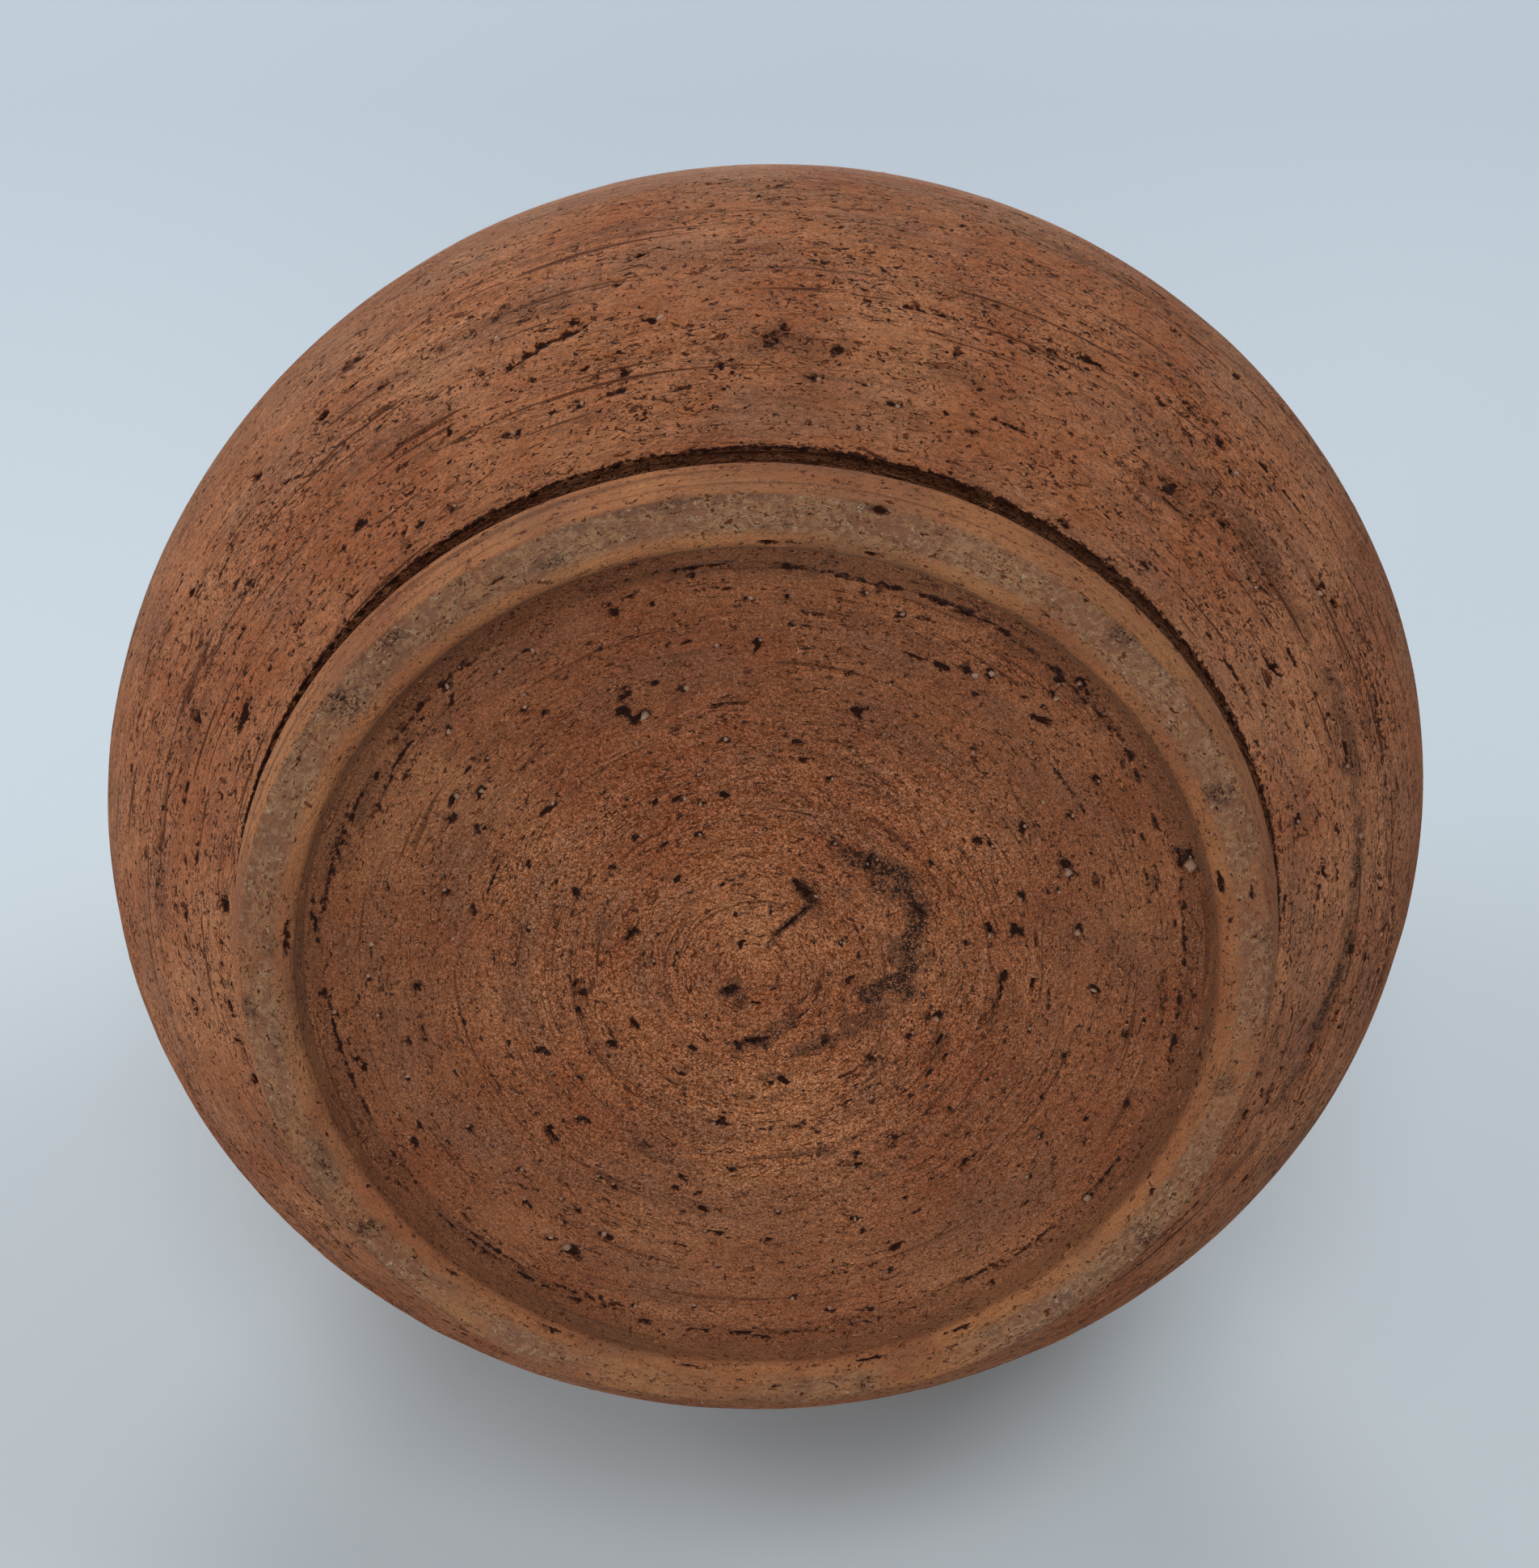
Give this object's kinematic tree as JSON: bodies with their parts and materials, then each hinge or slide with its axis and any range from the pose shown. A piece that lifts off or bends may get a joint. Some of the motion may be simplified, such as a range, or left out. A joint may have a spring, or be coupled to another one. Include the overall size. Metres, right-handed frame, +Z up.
{
  "type": "stoneware vase",
  "caption": "Squat round-bellied stoneware vase, unglazed red-brown clay with a turned foot ring, a short waisted neck and a rounded lip; stands on a flat ring and holds stems or water.",
  "frame": {"origin": "centre of the foot, on the surface that the vase stands on", "axes": "+Z up along the vase's axis of revolution, towards the mouth; +X and +Y are any two directions across it"},
  "size_m": [0.1572, 0.1572, 0.133],
  "materials": {
    "worn_ring_clay": "unglazed coarse stoneware, worn pale on its resting face",
    "base_clay": "unglazed coarse stoneware, turned, darker than the wall",
    "belly_clay": "unglazed coarse stoneware with drag marks and torn grit",
    "wall_clay": "unglazed coarse stoneware, smoothed"
  },
  "bodies": {
    "root": {"foot_ring": "worn_ring_clay", "base_disc": "base_clay", "belly": "belly_clay", "shoulder": "wall_clay", "neck": "wall_clay", "lip": "wall_clay"}
  },
  "joints": []
}
